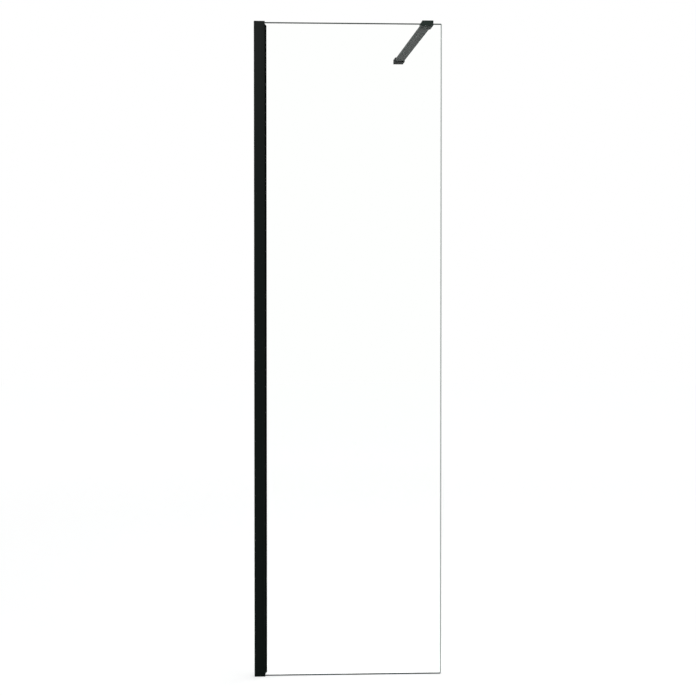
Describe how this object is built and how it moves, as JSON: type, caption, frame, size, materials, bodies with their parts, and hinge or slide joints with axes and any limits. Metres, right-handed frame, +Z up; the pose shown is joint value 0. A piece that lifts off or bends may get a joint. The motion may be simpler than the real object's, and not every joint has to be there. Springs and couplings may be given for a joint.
{
  "type": "fixed shower screen",
  "caption": "Fixed shower screen: tall clear glass panel in a black adjustable wall profile, steadied by a flat black arm that swivels between a glass clamp and a wall bracket.",
  "frame": {"origin": "on the wall line at floor level, on the glass's middle plane", "axes": "+X from the wall along the glass, +Y from the glass along the support arm to its wall, +Z up"},
  "size_m": [0.575, 1.0121, 2.006],
  "materials": {
    "black_aluminium": "matt black powder coat on extruded aluminium",
    "channel_aluminium": "black anodised extrusion",
    "clear_glass": "clear toughened float glass with ground edges",
    "gasket_rubber": "extruded black rubber",
    "black_plastic": "moulded, fine spark texture",
    "white_nylon": "natural moulded nylon",
    "stainless_steel": "plain stainless",
    "black_steel": "black oxide"
  },
  "bodies": {
    "wall_mount": {"wall_channel": "channel_aluminium"},
    "screen": {"glazing_profile": "black_aluminium", "glass_panel": "clear_glass", "front_gasket": "gasket_rubber", "rear_gasket": "gasket_rubber", "edge_packers": "white_nylon", "top_cap": "black_plastic", "lock_screws": "stainless_steel", "lock_nuts": "stainless_steel", "screw_caps": "black_plastic"},
    "clamp": {"clamp_body": "black_aluminium", "clamp_front_pad": "gasket_rubber", "clamp_rear_pad": "gasket_rubber", "clamp_plate": "black_steel", "clamp_screws": "black_steel", "clamp_pivot_pin": "black_steel"},
    "arm": {"glass_end_knuckle": "black_aluminium", "glass_end_washers": "black_plastic", "support_bar": "black_aluminium", "bar_screws": "black_steel", "wall_end_knuckle": "black_aluminium", "wall_end_washers": "black_plastic"},
    "bracket": {"wall_pivot_pin": "black_steel", "wall_bracket": "black_aluminium"}
  },
  "joints": [
    {"name": "width_adjust", "type": "slide", "parent": "wall_mount", "child": "screen", "axis": [1, 0, 0], "range_m": [0, 0.015]},
    {"name": "clamp_slide", "type": "slide", "parent": "screen", "child": "clamp", "axis": [1, 0, 0], "range_m": [-0.45, 0.025]},
    {"name": "arm_swivel", "type": "hinge", "parent": "clamp", "child": "arm", "pos_m": [0.531, 0.0225, 1.998], "axis": [0, 0, 1], "range_deg": [-60, 60]},
    {"name": "bracket_swivel", "type": "hinge", "parent": "arm", "child": "bracket", "pos_m": [0.531, 0.9844, 1.998], "axis": [0, 0, 1], "range_deg": [-60, 60]}
  ]
}
